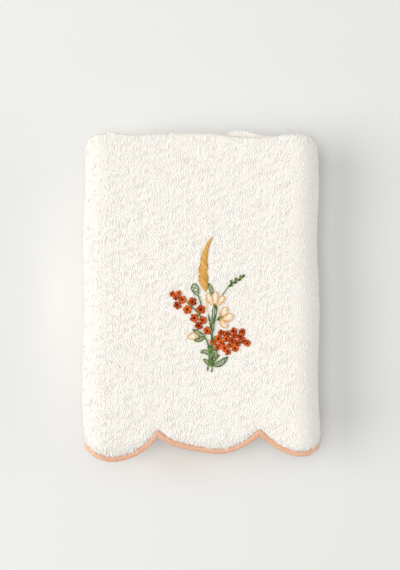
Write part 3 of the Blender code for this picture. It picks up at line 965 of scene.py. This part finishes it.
cream_stitches = []
for number, rows in enumerate(PETALS):
    inner = [(x, y, 0.85 * half) for x, y, half in rows]
    filling = fill_stitches(inner, 0.50 * MM, 0.5, 300 + number, 1.2 * MM, 1.75 * MM)
    shading = fill_stitches(inner[:2], 0.45 * MM, -0.4, 320 + number, 1.3 * MM, 1.85 * MM)
    border = run_stitches(outline(rows), 340 + number, 1.7 * MM)
    cream_stitches += [(filling, 1.0), (shading, 0.42), (border, 0.08)]
cream_stitches.append((run_stitches(((3.0, 0.0), (3.0, -5.0), (3.5, -9.0), (4.5, -13.0)), 360), 0.2))
cream = silk("cream silk", (255, 250, 230), (240, 176, 96))
sew("cream_flowers", cream_stitches, 0.25 * MM, cream, seed=105, spread=0.16)

# Stems and leaves
# Green silk in stem stitch and small satin leaves: the stems, the cups under the cream flowers, the bud,
# the sprig and the leaves at the base.
STEMS = (
    ((-2.5, 0.0), (-1.5, -3.0), (-0.5, -6.5)),
    ((14.5, 0.0), (16.5, 3.0), (19.0, 7.0), (23.5, 10.0), (28.5, 13.0)),
    ((-15.0, -3.0), (-11.0, -4.0), (-7.0, -8.0), (-2.0, -13.0), (2.0, -20.0)),
    ((4.5, -13.0), (5.5, -18.0), (6.5, -24.0), (7.0, -32.0)),
    ((5.0, -14.0), (6.5, -19.0), (7.0, -24.0)),
    ((8.0, -8.0), (7.5, -14.0), (7.5, -20.0), (7.5, -26.0), (8.0, -36.0)),
    ((11.0, -8.5), (10.5, -13.0), (9.0, -18.0), (8.5, -26.0)),
    ((9.5, -8.0), (9.0, -14.0), (8.5, -20.0)),
    ((13.5, -16.0), (11.0, -16.5), (9.0, -18.5)),
    ((2.5, -30.0), (4.0, -33.0), (5.0, -38.0), (5.5, -44.0), (4.0, -53.0)),
    ((9.5, -28.5), (7.5, -31.0), (7.5, -37.0), (8.0, -44.0), (7.5, -49.0), (7.0, -54.0)),
    ((7.0, -33.0), (6.0, -39.0), (7.0, -45.0), (6.0, -50.0)),
    ((12.5, -42.0), (10.0, -44.5), (8.0, -48.5)),
)
LEAVES = (  # x, y and half width down the middle of each filled leaf, base first
    ((6.5, 0.5, 0.5), (7.5, 3.0, 1.3), (6.0, 6.0, 1.0), (5.0, 8.5, 0.3)),
    ((2.5, -29.5, 0.5), (-0.5, -28.0, 1.5), (-3.5, -26.0, 1.3), (-6.0, -24.0, 0.3)),
    ((2.5, -29.5, 0.5), (0.0, -30.5, 1.3), (-2.5, -32.0, 1.2), (-5.0, -32.0, 0.3)),
    ((5.5, -42.0, 0.5), (3.5, -40.0, 1.5), (1.5, -39.5, 1.3), (-0.5, -40.5, 0.3)),
    ((5.0, -49.0, 0.5), (4.0, -47.0, 1.2), (2.5, -46.0, 1.0), (1.5, -45.0, 0.3)),
    ((8.5, -49.5, 0.5), (12.0, -49.0, 1.9), (15.5, -46.5, 1.8), (18.5, -43.5, 0.3)),
    ((7.0, -38.0, 0.5), (9.0, -39.5, 1.5), (10.5, -42.0, 1.4), (9.5, -45.0, 0.3)),
    ((7.0, -38.0, 0.4), (6.5, -35.0, 1.3), (8.0, -32.5, 1.0), (10.0, -31.0, 0.3)),
)
CALYXES = (  # the same for the cups under the cream flowers
    ((9.5, -9.0, 1.2), (9.5, -7.5, 2.0), (9.5, -6.5, 1.6), (9.5, -6.0, 0.8)),
    ((11.5, -16.5, 0.8), (13.0, -16.0, 1.9), (14.0, -15.5, 1.9), (15.0, -15.5, 0.9)),
)
BUD = ((-2.5, 0.0, 0.4), (-4.0, 3.0, 2.3), (-5.0, 6.0, 2.6), (-5.5, 8.0, 0.8))
SPRIG_LEAVES = 7
DOUBLED_STEMS, BESIDE = (0, 2, 9, 10, 11, 12), (0.42, -0.2)

green_stitches = [(run_stitches(rows, 400 + number), 0.2) for number, rows in enumerate(STEMS)]
for number in DOUBLED_STEMS:
    beside = [(x + BESIDE[0], y + BESIDE[1]) for x, y in STEMS[number]]
    green_stitches.append((run_stitches(beside, 500 + number), 0.35))
for number, rows in enumerate(CALYXES):
    green_stitches.append((fill_stitches(rows, 0.5 * MM, 0.9, 520 + number), 0.3))
for number, rows in enumerate(LEAVES):
    filling = fill_stitches(rows, 1.3 * MM, 0.9, 420 + number)
    green_stitches += [(filling, 0.45), (run_stitches(outline(rows), 440 + number, 1.6 * MM), 0.2)]
for seed, length, tone in ((460, 1.6 * MM, 0.2), (461, 1.8 * MM, 0.3)):
    green_stitches.append((run_stitches(outline(BUD), seed, length), tone))
for seed, slant in ((462, 0.8), (463, -0.8)):
    green_stitches.append((fill_stitches(BUD, 1.9 * MM, slant, seed, 1.4 * MM, 1.9 * MM), 0.5))
sprig = flowing(STEMS[1][2:], 0.1 * MM)[:, :2] / MM
for number in range(SPRIG_LEAVES):
    x, y = sprig[int((len(sprig) - 1) * number / (SPRIG_LEAVES - 1))]
    way = math.radians(33 + (38 if number % 2 else -38) * (number < SPRIG_LEAVES - 1))
    reach = 2.8 - 0.1 * number
    tip = (x + reach * math.cos(way), y + reach * math.sin(way))
    leaf = ((x, y, 0.3), ((x + tip[0]) / 2, (y + tip[1]) / 2, 1.15), (*tip, 0.25))
    green_stitches.append((fill_stitches(leaf, 0.34 * MM, 1.0, 470 + number), 0.2))
green = silk("leaf green silk", (176, 206, 118), (44, 86, 26))
sew("stems_and_leaves", green_stitches, 0.30 * MM, green, seed=106)

# Floor and light
# A pale floor with painted light: a painted fall-off of the light, brighter to the left, a faint painted
# pool of bounce light at the towel's left side, and a faint painted peach reflection of the edging below
# its scallops. Soft lights come from the left, from overhead and low from the right.
FLOOR_SIZE, PAINTED_FALLOFF_REACH = 30, 0.14
# Painted fall-off of the light: the floor's colour is lighter at the left and darker at the right, across
# the reach either side of the towel.
FLOOR_PAINTED_BRIGHT_LEFT, FLOOR_PAINTED_DIM_RIGHT = linear(227, 227, 225), linear(220, 220, 218)
# Painted bounce light: a pale patch where the towel's lit left side throws light onto the floor, and a
# peach patch where the edging's colour reflects onto the floor below the scallops.
PAINTED_BOUNCE_PATCHES = (  # middle and reach in X and Y, in metres, and colour
    ((-0.106, 0.0), (0.055, 0.165), linear(236, 235, 232)),
    ((-0.015, -0.121), (0.095, 0.033), linear(226, 219, 214)),
)
SURROUNDINGS = 0.30
LIGHTS = (  # name, direction towards it, spread in degrees, strength and colour
    ("left_light", (-0.788, 0.0, 0.616), 42, 1.93, (1.0, 0.995, 0.98)),
    ("overhead_light", (-0.10, 0.02, 1.0), 30, 1.20, (1.0, 1.0, 1.0)),
    ("right_fill", (0.97, 0.0, 0.22), 50, 0.95, (0.945, 0.975, 1.0)),
)

bpy.ops.mesh.primitive_plane_add(size=FLOOR_SIZE, location=(0, 0, 0))
floor = bpy.context.object
floor.name = "studio_floor"
floor_material, shader = new_material("pale studio floor", roughness=0.9, sheen=0.0)
tree = floor_material.node_tree
place = tree.nodes.new("ShaderNodeTexCoord")
split = tree.nodes.new("ShaderNodeSeparateXYZ")
tree.links.new(place.outputs["Object"], split.inputs["Vector"])
painted_falloff_share = tree.nodes.new("ShaderNodeMapRange")
painted_falloff_share.inputs["From Min"].default_value = -PAINTED_FALLOFF_REACH
painted_falloff_share.inputs["From Max"].default_value = PAINTED_FALLOFF_REACH
tree.links.new(split.outputs["X"], painted_falloff_share.inputs["Value"])
# Painted fall-off of the light across the floor, from the lighter left colour to the darker right one.
fade = tree.nodes.new("ShaderNodeMix")
fade.data_type = "RGBA"
fade.inputs["A"].default_value = FLOOR_PAINTED_BRIGHT_LEFT
fade.inputs["B"].default_value = FLOOR_PAINTED_DIM_RIGHT
tree.links.new(painted_falloff_share.outputs["Result"], fade.inputs["Factor"])
floor_colour_with_painted_light = fade.outputs["Result"]
# Each patch mixes in painted bounce light, strongest at its middle.
for (x, y), (reach_x, reach_y), bounce_tint in PAINTED_BOUNCE_PATCHES:
    patch = tree.nodes.new("ShaderNodeMapping")
    patch.inputs["Location"].default_value = (-x / reach_x, -y / reach_y, 0)
    patch.inputs["Scale"].default_value = (1 / reach_x, 1 / reach_y, 0)
    tree.links.new(place.outputs["Object"], patch.inputs["Vector"])
    bounce_nearness = tree.nodes.new("ShaderNodeTexGradient")
    bounce_nearness.gradient_type = "QUADRATIC_SPHERE"
    tree.links.new(patch.outputs["Vector"], bounce_nearness.inputs["Vector"])
    painted_bounce = tree.nodes.new("ShaderNodeMix")
    painted_bounce.data_type = "RGBA"
    painted_bounce.inputs["B"].default_value = bounce_tint
    tree.links.new(bounce_nearness.outputs["Fac"], painted_bounce.inputs["Factor"])
    tree.links.new(floor_colour_with_painted_light, painted_bounce.inputs["A"])
    floor_colour_with_painted_light = painted_bounce.outputs["Result"]
tree.links.new(floor_colour_with_painted_light, shader.inputs["Base Color"])
floor.data.materials.append(floor_material)

world = bpy.data.worlds.new("soft white surroundings")
world.use_nodes = True
background = world.node_tree.nodes["Background"]
background.inputs["Color"].default_value = (1.0, 1.0, 0.99, 1.0)
background.inputs["Strength"].default_value = SURROUNDINGS
bpy.context.scene.world = world

for name, direction, spread, strength, colour in LIGHTS:
    bpy.ops.object.light_add(type="SUN", location=direction)
    light = bpy.context.object
    light.name = name
    light.data.angle = math.radians(spread)
    light.data.energy = strength
    light.data.color = colour
    light.rotation_euler = light.location.to_track_quat("Z", "Y").to_euler()

bpy.context.scene.view_settings.view_transform = "Standard"
